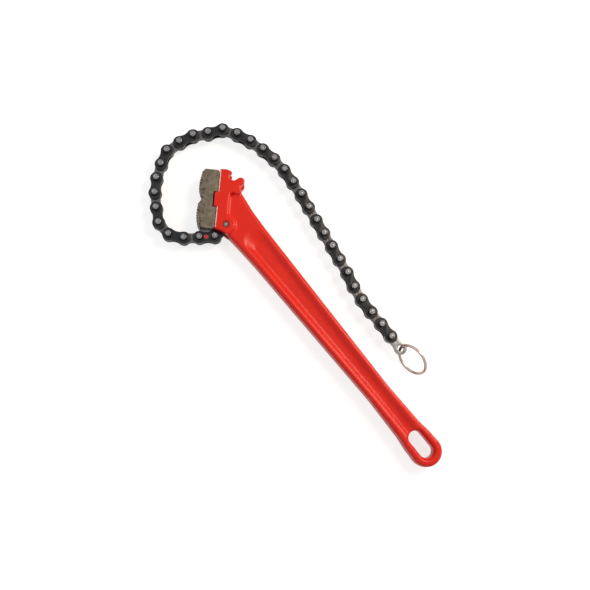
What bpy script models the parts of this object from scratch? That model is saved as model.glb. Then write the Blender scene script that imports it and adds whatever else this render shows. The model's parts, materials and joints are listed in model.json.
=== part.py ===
"""Chain wrench: a forged handle, a reversible toothed jaw, and a leaf chain that ends in a pull ring.

Metres, +Z up. The wrench lies on its side as it would on a bench. +X runs along the handle to its hang hole,
+Y is the side that the horns and the free chain lie on, and +Z points out of the side that shows. The origin
is on the underside of the head, on the middle line of the handle.
"""

from math import acos, atan2, cos, pi, radians, sin, tan

import bmesh
import bpy
from mathutils import Matrix, Vector

MM = 0.001

# Chain: a leaf chain of 5/8 inch pitch, two plates by two plates, its pins long enough to hook on the horns
CHAIN_PITCH = 15.875 * MM
PLATE_THICKNESS = 2.1 * MM
PLATE_GAP = 0.3 * MM
OUTER_LOBE_RADIUS = 6.6 * MM
INNER_LOBE_RADIUS = 6.4 * MM
WAIST_HALF_WIDTH = 4.8 * MM
PIN_RADIUS = 2.93 * MM
PIN_OVERHANG = 5.55 * MM
PIN_END_CHAMFER = 0.5 * MM
PIN_CLEARANCE = 0.25 * MM
RING_HOLE_RADIUS = 3.3 * MM

# The lay of the chain on the bench: the heading of each link in whole degrees, from the anchor to the ring
LINK_HEADINGS = (
    -84, -125, -125, -142, -178, 152, 148, 137, 126, 120, 89, 81, 62, 68, 34, 24, 17,
    11, 3, -4, -5, -9, -9, -9, -8, -9, -9, -14, -8, -2, 1, -1, 1,
)

# Pull ring: it leans on the bench, and its wire goes down through the end link
RING_RADIUS = 16.5 * MM
RING_WIRE_RADIUS = 1.15 * MM
RING_LEAN = radians(66)
RING_HEADING = radians(-2)

# Jaw: symmetrical, so that it can be turned end for end; heights are taken from its back
JAW_SEAT_X = -4.67 * MM
JAW_SEAT_Y = -5.06 * MM
JAW_HEADING = radians(-43.3)
JAW_LENGTH = 62.8 * MM
JAW_THICKNESS = 22.0 * MM
JAW_END_HEIGHT = 14.8 * MM
JAW_SHOULDER_HEIGHT = 18.0 * MM
JAW_VALLEY_HEIGHT = 15.7 * MM
JAW_VALLEY_HALF_WIDTH = 7.2 * MM
VALLEY_FLOOR_SHARE = 0.35
JAW_BACK_CORNER = 1.6 * MM
JAW_RIM = 0.8 * MM
TEETH_PER_BAND = 7
TOOTH_PITCH = 2.9 * MM
TOOTH_DEPTH = 1.4 * MM
BAND_RISE = 1.2 * MM
BAND_CROWN = 1.15 * MM
KEYWAY_WIDTH = 16.3 * MM
KEYWAY_DEPTH = 4.0 * MM
KEY_TOP_GAP = 1.0 * MM
SEAT_GAP = 0.3 * MM

# Jaw screw: a socket head screw sunk in the toothless valley, threaded into the web between the slots
SCREW_RADIUS = 3.9 * MM
SCREW_HEAD_RADIUS = 5.6 * MM
SCREW_HEAD_HEIGHT = 5.0 * MM
SCREW_SEAT_HEIGHT = 8.6 * MM
SCREW_REACH = 16.0 * MM
SCREW_HOLE_SPARE = 1.5 * MM
SOCKET_RADIUS = 3.4 * MM
SOCKET_DEPTH = 3.0 * MM

# Head: two cheeks on one web, open between the cheeks at the horns and round the anchor pin
HEAD_THICKNESS = 24.4 * MM
HEAD_RIM = 1.0 * MM
ANCHOR_INSET = 5.8 * MM
ANCHOR_DEPTH = 11.7 * MM
BOSS_RADIUS = 9.6 * MM
BOSS_ARC_START = radians(112)
ANCHOR_RECESS_RADIUS = 3.7 * MM
ANCHOR_RECESS_DEPTH = 1.2 * MM
ANCHOR_PIN_SINK = 0.6 * MM
SLOT_PLAY = 0.55 * MM
HORN_SLOT_FLOOR_Y = 12.0 * MM
HORN_SLOT_END_X = -3.0 * MM
HORN_SLOT_EXIT_X = 4.5 * MM
ANCHOR_SLOT_PLAY = 1.6 * MM
ANCHOR_SLOT_SPREAD = radians(30)

# Shank: a bar with a channel down each side, from the head to the eye
SHANK_THICKNESS = 19.0 * MM
SHANK_HALF_WIDTH = 16.0 * MM
SHANK_EDGE_RADIUS = 4.0 * MM
WAIST_X = 252.0 * MM
SHANK_WAIST_HALF_WIDTH = 12.0 * MM
SHANK_ASIDE = 1.2 * MM
EYE_X = 325.3 * MM
EYE_RADIUS = 15.8 * MM
HANG_HOLE_HALF_WIDTH = 7.0 * MM
HANG_HOLE_SPAN = 16.4 * MM
HANG_HOLE_RIM = 5.0 * MM
HANG_HOLE_RIM_DEPTH = 7.0 * MM
CHANNEL_DEPTH = 4.0 * MM
CHANNEL_WALL_RUN = 4.0 * MM
CHANNEL_RAMP = 18.0 * MM
CHANNEL_START_X = 40.0 * MM
CHANNEL_MOUTH_HALF_WIDTH = 7.6 * MM
FLANGE_WIDTH = 4.4 * MM
CUT_ABOVE = 0.5 * MM
OVERRUN = 3.0 * MM
WELD = 0.001 * MM

# Outline of the head from the hook, over the two horns, down to the edge of its raised pad: each row holds
# along the jaw, away from the jaw, and the corner's radius, as shares of the jaw's length
HORN_SHARES = (
    (-0.524, -0.111, 0.060),
    (-0.490, -0.212, 0.023),
    (-0.456, -0.192, 0.022),
    (-0.434, -0.169, 0.026),
    (-0.351, -0.177, 0.036),
    (-0.343, -0.252, 0.040),
    (-0.410, -0.337, 0.048),
    (-0.390, -0.424, 0.052),
    (-0.309, -0.415, 0.042),
    (-0.248, -0.356, 0.048),
    (-0.157, -0.392, 0.0),
    (-0.104, -0.343, 0.030),
    (-0.142, -0.206, 0.040),
    (0.226, -0.205, 0.056),
)
HEAD_START_SHARE = -0.518
HEAD_END_SHARE = 0.495

# Lower edge of the head, from the boss back to the jaw: from the anchor pin, as shares of the boss's radius
HEEL_SHARES = (
    (1.00, -0.59, 0.15),
    (0.66, -0.66, 0.40),
    (0.12, -0.88, 0.30),
)

# Edge of the shank on the horns' side: along it as shares of the eye's place, and out from the middle line
# and the corner's radius as shares of its half width
SHANK_UPPER_SHARES = (
    (-0.010, 0.475, 0.0),
    (0.0135, 1.30, 0.0),
    (0.042, 1.23, 1.25),
    (0.084, 1.11, 2.5),
    (0.150, 1.04, 3.0),
)
SHANK_LOWER_SHARES = (
    (0.225, -1.015, 3.5),
    (0.148, -1.10, 2.0),
    (0.105, -1.165, 0.8),
    (0.075, -1.20, 0.0),
    (0.035, -0.78, 0.0),
)
EYE_NECK_SHARES = (
    (0.916, 0.835, 3.8),
    (0.961, 0.945, 1.0),
)
WAIST_CURVE_SHARE = 5.0
EYE_ARC_HALF = radians(102)

PLATE_LAYER = PLATE_THICKNESS + PLATE_GAP
INNER_PLATE_HEIGHT = PLATE_LAYER / 2
OUTER_PLATE_HEIGHT = INNER_PLATE_HEIGHT + PLATE_LAYER
STACK_HALF = OUTER_PLATE_HEIGHT + PLATE_THICKNESS / 2
SLOT_WIDTH = 2 * (STACK_HALF + SLOT_PLAY)
PIN_HALF_LENGTH = STACK_HALF + PIN_OVERHANG
HOLE_RADIUS = PIN_RADIUS + PIN_CLEARANCE
MIDDLE = HEAD_THICKNESS / 2
BAND_LENGTH = TEETH_PER_BAND * TOOTH_PITCH
BAND_START = JAW_VALLEY_HALF_WIDTH
BAND_END = BAND_START + BAND_LENGTH
KEY_HEIGHT = KEYWAY_DEPTH - KEY_TOP_GAP
KEY_HALF_WIDTH = KEYWAY_WIDTH / 2 - SEAT_GAP
HANG_HOLE_NEAR_X = EYE_X - HANG_HOLE_SPAN

# Facets of round forms, and the angle past which an edge is drawn sharp
SHARP_ANGLE = radians(35)
BAR_EDGE_STEPS = 2
EYE_RIM_STEPS = 3
RING_SEGMENTS = 24
RING_WIRE_SIDES = 8
HEX_SIDES = 6
LOBE_STEPS = 6
HOLE_SIDES = 8
PIN_SIDES = 8
CORNER_STEPS = 4
BOSS_STEPS = 7
EYE_STEPS = 16
ROUND_SIDES = 16

parts = bpy.data.collections.new("chain_wrench")
cutters = bpy.data.collections.new("cutters")


def in_jaw_frame(along, out):
    """A point in the plane, from its place along the jaw and its height out of the jaw's back."""
    x = JAW_SEAT_X + along * cos(JAW_HEADING) + out * sin(JAW_HEADING)
    y = JAW_SEAT_Y + along * sin(JAW_HEADING) - out * cos(JAW_HEADING)
    return x, y


# The anchor pin keeps its place from the jaw's far end and behind its seat
ANCHOR_X, ANCHOR_Y = in_jaw_frame(JAW_LENGTH / 2 - ANCHOR_INSET, -ANCHOR_DEPTH)


def clear_scene():
    for old in list(bpy.data.objects):
        bpy.data.objects.remove(old)
    for collection in (parts, cutters):
        bpy.context.scene.collection.children.link(collection)


def linear(channel):
    return channel / 12.92 if channel <= 0.04045 else ((channel + 0.055) / 1.055) ** 2.4


def finish(name, colour, roughness, metallic):
    """A Principled material from an sRGB hex colour."""
    material = bpy.data.materials.new(name)
    material.use_nodes = True
    shader = material.node_tree.nodes["Principled BSDF"]
    channels = [linear(int(colour[k:k + 2], 16) / 255) for k in (1, 3, 5)]
    shader.inputs["Base Color"].default_value = (*channels, 1)
    shader.inputs["Roughness"].default_value = roughness
    shader.inputs["Metallic"].default_value = metallic
    return material


def circle(radius, sides, centre=(0, 0), outside=False):
    """Points of a round loop; an outside loop's flats touch the circle, as a hole round a pin needs."""
    reach = radius / cos(pi / sides) if outside else radius
    turns = [2 * pi * (k + 0.5) / sides for k in range(sides)]
    return [(centre[0] + reach * cos(a), centre[1] + reach * sin(a)) for a in turns]


def arc(centre, radius, start, end, steps):
    turns = [start + (end - start) * k / steps for k in range(steps + 1)]
    return [(centre[0] + radius * cos(a), centre[1] + radius * sin(a)) for a in turns]


def rounded(corners):
    """Points of a closed outline whose corners (x, y, radius) are rounded by true arcs."""
    points = []
    for k, (x, y, radius) in enumerate(corners):
        if not radius:
            points.append((x, y))
            continue
        corner = Vector((x, y))
        back = (Vector(corners[k - 1][:2]) - corner).normalized()
        ahead = (Vector(corners[(k + 1) % len(corners)][:2]) - corner).normalized()
        half = acos(max(-1, min(1, back.dot(ahead)))) / 2
        centre = corner + (back + ahead).normalized() * radius / sin(half)
        first = corner + back * radius / tan(half) - centre
        last = corner + ahead * radius / tan(half) - centre
        start = atan2(first.y, first.x)
        turn = (atan2(last.y, last.x) - start + pi) % (2 * pi) - pi
        points += arc(centre, radius, start, start + turn, CORNER_STEPS)
    return points


def flat_solid(loops, thickness, rim=0, rim_steps=0):
    """Mesh of a flat outline with its holes, centred on its thickness, its rims rounded or chamfered."""
    curve = bpy.data.curves.new("outline", "CURVE")
    curve.dimensions = "2D"
    curve.fill_mode = "BOTH"
    curve.extrude = thickness / 2 - rim
    curve.bevel_depth = rim
    curve.bevel_resolution = rim_steps
    curve.offset = -rim
    for loop in loops:
        spline = curve.splines.new("POLY")
        spline.points.add(len(loop) - 1)
        for point, (x, y) in zip(spline.points, loop):
            point.co = (x, y, 0, 1)
        spline.use_cyclic_u = True
    source = bpy.data.objects.new("outline", curve)
    bpy.context.scene.collection.objects.link(source)
    evaluated = source.evaluated_get(bpy.context.evaluated_depsgraph_get())
    mesh = bpy.data.meshes.new_from_object(evaluated)
    bpy.data.objects.remove(source)
    mesh.materials.clear()
    clean(mesh)
    return mesh


def clean(mesh):
    """Joins loose caps to their walls and points every face outwards."""
    work = bmesh.new()
    work.from_mesh(mesh)
    bmesh.ops.remove_doubles(work, verts=work.verts, dist=WELD)
    bmesh.ops.recalc_face_normals(work, faces=work.faces)
    work.to_mesh(mesh)
    work.free()


def loft(rings):
    """Mesh through rings of points of equal count, capped at both ends; for sections that differ."""
    work = bmesh.new()
    loops = [[work.verts.new(point) for point in ring] for ring in rings]
    count = len(loops[0])
    for lower, upper in zip(loops, loops[1:]):
        for k in range(count):
            after = (k + 1) % count
            work.faces.new((lower[k], lower[after], upper[after], upper[k]))
    work.faces.new(loops[0])
    work.faces.new(loops[-1])
    bmesh.ops.recalc_face_normals(work, faces=work.faces)
    mesh = bpy.data.meshes.new("loft")
    work.to_mesh(mesh)
    work.free()
    return mesh


def cylinder(radius, bottom, top, sides=ROUND_SIDES, outside=False):
    reach = radius / cos(pi / sides) if outside else radius
    work = bmesh.new()
    bmesh.ops.create_cone(
        work, cap_ends=True, segments=sides, radius1=reach, radius2=reach, depth=top - bottom,
        matrix=Matrix.Translation((0, 0, (top + bottom) / 2)),
    )
    mesh = bpy.data.meshes.new("cylinder")
    work.to_mesh(mesh)
    work.free()
    return mesh


def fused(meshes):
    """One solid from meshes that run into each other, as riveted pieces do."""
    base = bpy.data.objects.new("fused", meshes[0])
    bpy.context.scene.collection.objects.link(base)
    tools = []
    for mesh in meshes[1:]:
        tools.append(bpy.data.objects.new("fused_tool", mesh))
        bpy.context.scene.collection.objects.link(tools[-1])
        modifier = base.modifiers.new("join", "BOOLEAN")
        modifier.operation = "UNION"
        modifier.object = tools[-1]
    evaluated = base.evaluated_get(bpy.context.evaluated_depsgraph_get())
    result = bpy.data.meshes.new_from_object(evaluated)
    for working in [base] + tools:
        bpy.data.objects.remove(working)
    return result


def moved(mesh, matrix):
    copy = mesh.copy()
    copy.transform(matrix)
    return copy


def add(name, mesh, material, place=(0, 0, 0), turn=0):
    """A named part at its place, smooth where it is round."""
    part = bpy.data.objects.new(name, mesh)
    parts.objects.link(part)
    part.location = place
    part.rotation_euler = (0, 0, turn)
    if not mesh.materials:
        mesh.materials.append(material)
    mesh.shade_smooth()
    mesh.set_sharp_from_angle(angle=SHARP_ANGLE)
    return part


def cut(part, name, mesh, matrix=None, operation="DIFFERENCE"):
    """Cuts or joins a hidden working shape; it stays live as a Boolean modifier."""
    tool = bpy.data.objects.new(name, mesh)
    cutters.objects.link(tool)
    tool.matrix_world = matrix or Matrix()
    tool.hide_render = True
    tool.display_type = "WIRE"
    modifier = part.modifiers.new(name, "BOOLEAN")
    modifier.operation = operation
    modifier.object = tool
    return tool


def raised(height):
    return Matrix.Translation((0, 0, height))


def screw_axis():
    """Frame whose +Z runs out of the jaw's back through its middle, at mid-thickness."""
    out = Vector((sin(JAW_HEADING), -cos(JAW_HEADING), 0))
    along = Vector((cos(JAW_HEADING), sin(JAW_HEADING), 0))
    up = out.cross(along)
    turn = Matrix((along, up, out)).transposed().to_4x4()
    return Matrix.Translation((JAW_SEAT_X, JAW_SEAT_Y, MIDDLE)) @ turn


def shank_middle(x):
    """The bar runs slightly aslant of the head: from one side of the middle line to the other at the eye."""
    return SHANK_ASIDE * (2 * x / EYE_X - 1)


def shank_edge():
    """Outline of the bar and its eye, about the bar's own middle line."""
    def corner(share_x, share_y, share_radius):
        x = share_x * EYE_X
        return x, shank_middle(x) + share_y * SHANK_HALF_WIDTH, share_radius * SHANK_HALF_WIDTH

    def waist(side):
        curve = WAIST_CURVE_SHARE * SHANK_HALF_WIDTH
        return WAIST_X, shank_middle(WAIST_X) + side * SHANK_WAIST_HALF_WIDTH, curve

    neck = [corner(*row) for row in EYE_NECK_SHARES]
    upper = [corner(*row) for row in SHANK_UPPER_SHARES] + [waist(1)] + neck
    lower = [corner(x, -y, radius) for x, y, radius in reversed(EYE_NECK_SHARES)] + [waist(-1)]
    lower += [corner(*row) for row in SHANK_LOWER_SHARES]
    centre = (EYE_X, shank_middle(EYE_X))
    eye = [(x, y, 0) for x, y in arc(centre, EYE_RADIUS, EYE_ARC_HALF, -EYE_ARC_HALF, EYE_STEPS)]
    return rounded(upper + eye + lower)


def head_edge():
    """Outline of the raised pads of the head: key, hook, horns, pad edge, boss and heel."""
    def on_jaw(along, out, radius=0):
        return (*in_jaw_frame(along, out), radius)

    key = [
        on_jaw(HEAD_END_SHARE * JAW_LENGTH, -SEAT_GAP),
        on_jaw(KEY_HALF_WIDTH, -SEAT_GAP),
        on_jaw(KEY_HALF_WIDTH, KEY_HEIGHT),
        on_jaw(-KEY_HALF_WIDTH, KEY_HEIGHT),
        on_jaw(-KEY_HALF_WIDTH, -SEAT_GAP),
        on_jaw(HEAD_START_SHARE * JAW_LENGTH, -SEAT_GAP),
    ]
    horns = [on_jaw(*(share * JAW_LENGTH for share in row)) for row in HORN_SHARES]
    anchor = (ANCHOR_X, ANCHOR_Y)
    boss = [(x, y, 0) for x, y in arc(anchor, BOSS_RADIUS, BOSS_ARC_START, 0, BOSS_STEPS)]
    heel = [
        (ANCHOR_X + x * BOSS_RADIUS, ANCHOR_Y + y * BOSS_RADIUS, radius * BOSS_RADIUS)
        for x, y, radius in HEEL_SHARES
    ]
    return rounded(key + horns + boss + heel)


def channel_half_width(x):
    """Half width of the channel's mouth: the bar's own taper less a flange."""
    share = (x - CHANNEL_START_X) / (WAIST_X - CHANNEL_START_X)
    return SHANK_HALF_WIDTH + share * (SHANK_WAIST_HALF_WIDTH - SHANK_HALF_WIDTH) - FLANGE_WIDTH


def channel_ring(share, height):
    """One ring of the channel cutter, from its floor (share 0) up its sloped walls to its mouth (share 1)."""
    inset = CHANNEL_WALL_RUN * (1 - share)
    start = CHANNEL_START_X + CHANNEL_RAMP * (1 - share)
    end_half = channel_half_width(start) - inset
    nose = arc((0, 0), 1, pi / 2, 3 * pi / 2, CORNER_STEPS * 2)
    points = [(start + end_half * (1 + x), end_half * y, height) for x, y in nose]
    waist_half = SHANK_WAIST_HALF_WIDTH - FLANGE_WIDTH - inset
    mouth_half = CHANNEL_MOUTH_HALF_WIDTH - inset
    points += [(WAIST_X, -waist_half, height), (EYE_X, -mouth_half, height)]
    points += [(EYE_X, mouth_half, height), (WAIST_X, waist_half, height)]
    return [(x, y + shank_middle(x), z) for x, y, z in points]


def channel(side):
    """Cutter for the channel in the upper (side 1) or lower (side -1) face of the bar."""
    floor = SHANK_THICKNESS / 2 - CHANNEL_DEPTH
    above = CHANNEL_DEPTH + CUT_ABOVE
    return loft([
        channel_ring(0, MIDDLE + side * floor),
        channel_ring(above / CHANNEL_DEPTH, MIDDLE + side * (floor + above)),
    ])


def oblong(grow, height):
    half = HANG_HOLE_HALF_WIDTH + grow
    far = arc((EYE_X, shank_middle(EYE_X)), half, pi / 2, -pi / 2, ROUND_SIDES // 2)
    near_centre = (HANG_HOLE_NEAR_X, shank_middle(HANG_HOLE_NEAR_X))
    near = arc(near_centre, half, -pi / 2, -3 * pi / 2, ROUND_SIDES // 2)
    return [(x, y, height) for x, y in far + near]


def hang_hole():
    """Cutter for the oblong eye, its rims rounded out towards both faces."""
    neck = SHANK_THICKNESS / 2 + CUT_ABOVE - HANG_HOLE_RIM_DEPTH
    turns = [pi / 2 * k / EYE_RIM_STEPS for k in range(EYE_RIM_STEPS + 1)]
    half = [(HANG_HOLE_RIM * (1 - cos(a)), neck + HANG_HOLE_RIM_DEPTH * sin(a)) for a in turns]
    levels = [(grow, -height) for grow, height in reversed(half)] + half
    return loft([oblong(grow, MIDDLE + height) for grow, height in levels])


def horn_slot():
    """Cutter that parts the two cheeks at the horns, where the chain's plates drop in."""
    top = HORN_SLOT_FLOOR_Y + JAW_LENGTH
    far = HORN_SLOT_END_X - JAW_LENGTH
    outline = [
        (far, HORN_SLOT_FLOOR_Y), (HORN_SLOT_END_X, HORN_SLOT_FLOOR_Y),
        (HORN_SLOT_EXIT_X, SHANK_HALF_WIDTH), (HORN_SLOT_EXIT_X + OVERRUN, top), (far, top),
    ]
    return flat_solid([outline], SLOT_WIDTH)


def anchor_slot():
    """Cutter that lets the first link hang from the anchor pin and swing towards the handle."""
    radius = INNER_LOBE_RADIUS + ANCHOR_SLOT_PLAY
    reach = 2 * BOSS_RADIUS + OVERRUN
    outline = arc((ANCHOR_X, ANCHOR_Y), radius, pi, ANCHOR_SLOT_SPREAD, BOSS_STEPS)
    last_x, last_y = outline[-1]
    outline.append((last_x + reach * sin(ANCHOR_SLOT_SPREAD), last_y - reach * cos(ANCHOR_SLOT_SPREAD)))
    outline.append((ANCHOR_X - radius, last_y - reach * cos(ANCHOR_SLOT_SPREAD)))
    return flat_solid([outline], SLOT_WIDTH)


def make_handle():
    bar = flat_solid([shank_edge()], SHANK_THICKNESS, SHANK_EDGE_RADIUS, BAR_EDGE_STEPS)
    bar.transform(raised(MIDDLE))
    handle = add("handle", bar, finish("red_enamel", "#D92C26", 0.35, 0))
    pads = flat_solid([head_edge()], HEAD_THICKNESS, HEAD_RIM, 0)
    cut(handle, "head_pads", pads, raised(MIDDLE), "UNION")
    cut(handle, "upper_channel", channel(1))
    cut(handle, "lower_channel", channel(-1))
    cut(handle, "hang_hole", hang_hole())
    cut(handle, "horn_slot", horn_slot(), raised(MIDDLE))
    cut(handle, "anchor_slot", anchor_slot(), raised(MIDDLE))
    at_anchor = Matrix.Translation((ANCHOR_X, ANCHOR_Y, 0))
    bore = cylinder(HOLE_RADIUS, -OVERRUN, HEAD_THICKNESS + OVERRUN, PIN_SIDES, True)
    cut(handle, "anchor_bore", bore, at_anchor)
    low = cylinder(ANCHOR_RECESS_RADIUS, -OVERRUN, ANCHOR_RECESS_DEPTH)
    cut(handle, "lower_recess", low, at_anchor)
    high = cylinder(ANCHOR_RECESS_RADIUS, HEAD_THICKNESS - ANCHOR_RECESS_DEPTH, HEAD_THICKNESS + OVERRUN)
    cut(handle, "upper_recess", high, at_anchor)
    thread = cylinder(SCREW_RADIUS + SEAT_GAP, -SCREW_REACH - SCREW_HOLE_SPARE, KEYWAY_DEPTH)
    cut(handle, "screw_hole", thread, screw_axis())


def band_height(along):
    """Height of the tooth tips: each band rises a little towards the valley and is crowned."""
    share = (BAND_END - along) / BAND_LENGTH
    return JAW_SHOULDER_HEIGHT + share * BAND_RISE + (1 - (2 * share - 1) ** 2) * BAND_CROWN


def jaw_half_edge():
    """Half of the jaw's outline from the middle of the valley to the middle of its back, before the teeth."""
    half = JAW_LENGTH / 2
    crest_steps = TEETH_PER_BAND // 2
    crest = [BAND_START + BAND_LENGTH * k / crest_steps for k in range(crest_steps + 1)]
    points = [(VALLEY_FLOOR_SHARE * JAW_VALLEY_HALF_WIDTH, JAW_VALLEY_HEIGHT + BAND_RISE / 2)]
    points += [(x, band_height(x)) for x in crest]
    points += [(half, JAW_END_HEIGHT), (half, JAW_BACK_CORNER), (half - JAW_BACK_CORNER, 0)]
    points += [(KEYWAY_WIDTH / 2, 0), (KEYWAY_WIDTH / 2, KEYWAY_DEPTH)]
    return points


def tooth_gaps(side):
    """Outline of the comb that cuts the gaps of one band of teeth."""
    roots = [BAND_START + TOOTH_PITCH * (k + 0.5) for k in range(TEETH_PER_BAND)]
    top = JAW_SHOULDER_HEIGHT + OVERRUN
    points = [(BAND_START, band_height(BAND_START))]
    for root in roots:
        tip = root + TOOTH_PITCH / 2
        points += [(root, band_height(root) - TOOTH_DEPTH), (tip, band_height(tip))]
    points += [(BAND_END, top), (BAND_START, top)]
    return [(side * x, y) for x, y in points]


def make_jaw():
    half = jaw_half_edge()
    outline = [(0, JAW_VALLEY_HEIGHT)] + half + [(-x, y) for x, y in reversed(half)]
    block = flat_solid([outline], JAW_THICKNESS, JAW_RIM)
    swapped = Matrix(((1, 0, 0, 0), (0, 0, 1, 0), (0, 1, 0, 0), (0, 0, 0, 1)))
    place = screw_axis() @ swapped
    block.transform(place)
    clean(block)
    jaw = add("jaw", block, finish("bare_jaw_steel", "#87807A", 0.55, 1))
    comb = flat_solid([tooth_gaps(1), tooth_gaps(-1)], JAW_THICKNESS + OVERRUN)
    comb.transform(place)
    clean(comb)
    cut(jaw, "tooth_gaps", comb)
    bore = cylinder(SCREW_RADIUS + SEAT_GAP, 0, SCREW_SEAT_HEIGHT + SEAT_GAP)
    cut(jaw, "screw_bore", bore, screw_axis())
    sink = cylinder(SCREW_HEAD_RADIUS + SEAT_GAP, SCREW_SEAT_HEIGHT, JAW_SHOULDER_HEIGHT + OVERRUN)
    cut(jaw, "screw_sink", sink, screw_axis())


def make_screw():
    seat = SCREW_SEAT_HEIGHT + SEAT_GAP
    top = seat + SCREW_HEAD_HEIGHT
    profile = [(0, top), (SCREW_HEAD_RADIUS, top), (SCREW_HEAD_RADIUS, seat), (SCREW_RADIUS, seat)]
    profile += [(SCREW_RADIUS, -SCREW_REACH), (0, -SCREW_REACH)]
    mesh = bpy.data.meshes.new("jaw_screw")
    edges = [(k, k + 1) for k in range(len(profile) - 1)]
    mesh.from_pydata([(x, 0, z) for x, z in profile], edges, [])
    screw = add("jaw_screw", mesh, finish("blackened_steel", "#3A3735", 0.5, 1))
    screw.matrix_world = screw_axis()
    turned = screw.modifiers.new("turned", "SCREW")
    turned.steps = ROUND_SIDES
    turned.render_steps = ROUND_SIDES
    turned.use_merge_vertices = True
    turned.merge_threshold = WELD
    socket = cylinder(SOCKET_RADIUS, top - SOCKET_DEPTH, top + OVERRUN, HEX_SIDES)
    cut(screw, "hex_socket", socket, screw_axis())


def pin_mesh(half_length):
    """A pin with chamfered ends, centred on its length."""
    return loft([
        [(x, y, height) for x, y in circle(radius, PIN_SIDES)]
        for radius, height in (
            (PIN_RADIUS - PIN_END_CHAMFER, -half_length), (PIN_RADIUS, PIN_END_CHAMFER - half_length),
            (PIN_RADIUS, half_length - PIN_END_CHAMFER), (PIN_RADIUS - PIN_END_CHAMFER, half_length),
        )
    ])


def make_anchor_pin():
    mesh = pin_mesh(MIDDLE - ANCHOR_PIN_SINK)
    add("anchor_pin", mesh, finish("pin_steel", "#B9B9B9", 0.35, 1), (ANCHOR_X, ANCHOR_Y, MIDDLE))


def plate_edge(lobe):
    """Figure-of-eight edge of a link plate: two lobes round the pins, drawn in by arcs at the waist."""
    half = CHAIN_PITCH / 2
    hollow = (half ** 2 + WAIST_HALF_WIDTH ** 2 - lobe ** 2) / (2 * (lobe - WAIST_HALF_WIDTH))
    tangent = atan2(WAIST_HALF_WIDTH + hollow, half)
    near = arc((0, 0), lobe, tangent, 2 * pi - tangent, LOBE_STEPS)
    far = arc((CHAIN_PITCH, 0), lobe, tangent - pi, pi - tangent, LOBE_STEPS)
    return near + [(half, -WAIST_HALF_WIDTH)] + far + [(half, WAIST_HALF_WIDTH)]


def inner_plate(far_hole=HOLE_RADIUS):
    """A plate whose two holes turn on the pins of its neighbours."""
    near = circle(HOLE_RADIUS, HOLE_SIDES, outside=True)
    far = circle(far_hole, HOLE_SIDES, (CHAIN_PITCH, 0), True)
    return flat_solid([plate_edge(INNER_LOBE_RADIUS), near, far], PLATE_THICKNESS)


def outer_link():
    """Two plates riveted on two pins, which stand out on both sides to hook on the horns."""
    plate = flat_solid([plate_edge(OUTER_LOBE_RADIUS)], PLATE_THICKNESS)
    pin = pin_mesh(PIN_HALF_LENGTH)
    ahead = Matrix.Translation((CHAIN_PITCH, 0, 0))
    top = moved(plate, raised(OUTER_PLATE_HEIGHT))
    low = moved(plate, raised(-OUTER_PLATE_HEIGHT))
    return fused([pin, top, low, moved(pin, ahead)])


def chain_stations():
    """Place and heading of each link, walked along the chain from the anchor pin."""
    x, y = ANCHOR_X, ANCHOR_Y
    stations = []
    for heading in (radians(degrees) for degrees in LINK_HEADINGS):
        stations.append((x, y, heading))
        x += CHAIN_PITCH * cos(heading)
        y += CHAIN_PITCH * sin(heading)
    return stations, (x, y)


def make_chain():
    """Even links are two inner plates side by side; odd links are outer links; the last holds the ring."""
    plate = inner_plate()
    end_plate = inner_plate(RING_HOLE_RADIUS)
    riveted = outer_link()
    bright = finish("plain_plate_steel", "#96928E", 0.4, 1)
    dark = finish("black_plate_steel", "#343135", 0.45, 1)
    stations, ring_hole = chain_stations()
    last = len(stations) - 1
    for number, (x, y, heading) in enumerate(stations):
        if number % 2:
            add(f"outer_link_{number:02d}", riveted, dark, (x, y, MIDDLE), heading)
            continue
        name = "end_plate" if number == last else f"inner_plate_{number:02d}"
        mesh = end_plate if number == last else plate
        for side, height in (("low", -INNER_PLATE_HEIGHT), ("top", INNER_PLATE_HEIGHT)):
            add(f"{name}_{side}", mesh, bright, (x, y, MIDDLE + height), heading)
    return ring_hole


def make_ring(hole):
    """The ring stands on the bench at a lean; its mesh is shifted so that its origin is at the hole."""
    centre_height = RING_RADIUS * sin(RING_LEAN) + RING_WIRE_RADIUS
    crossing = (MIDDLE - centre_height) / (RING_RADIUS * sin(RING_LEAN))
    out = RING_RADIUS * (1 - crossing ** 2) ** 0.5
    aside = -RING_RADIUS * crossing * cos(RING_LEAN)
    bpy.ops.mesh.primitive_torus_add(
        major_radius=RING_RADIUS, minor_radius=RING_WIRE_RADIUS,
        major_segments=RING_SEGMENTS, minor_segments=RING_WIRE_SIDES,
    )
    torus = bpy.context.object
    mesh = torus.data.copy()
    bpy.data.objects.remove(torus)
    mesh.materials.clear()
    lean = Matrix.Rotation(RING_LEAN, 4, "X")
    mesh.transform(Matrix.Translation((out, aside, centre_height - MIDDLE)) @ lean)
    add("pull_ring", mesh, finish("nickel_wire", "#C9BDB4", 0.2, 1), (*hole, MIDDLE), RING_HEADING)


clear_scene()
make_handle()
make_jaw()
make_screw()
make_anchor_pin()
make_ring(make_chain())
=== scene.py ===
"""Looks of the chain wrench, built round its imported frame.

A red enamelled forging with a drilled head, a bare toothed jaw, a leaf chain of black outer plates, plain
inner plates and bright riveted pins, and a nickel plated pull ring, lying on a pale studio floor.
"""

import json
from math import acos, atan2, cos, pi, radians, sin, tan

import bmesh
import bpy
from mathutils import Matrix, Vector


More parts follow.
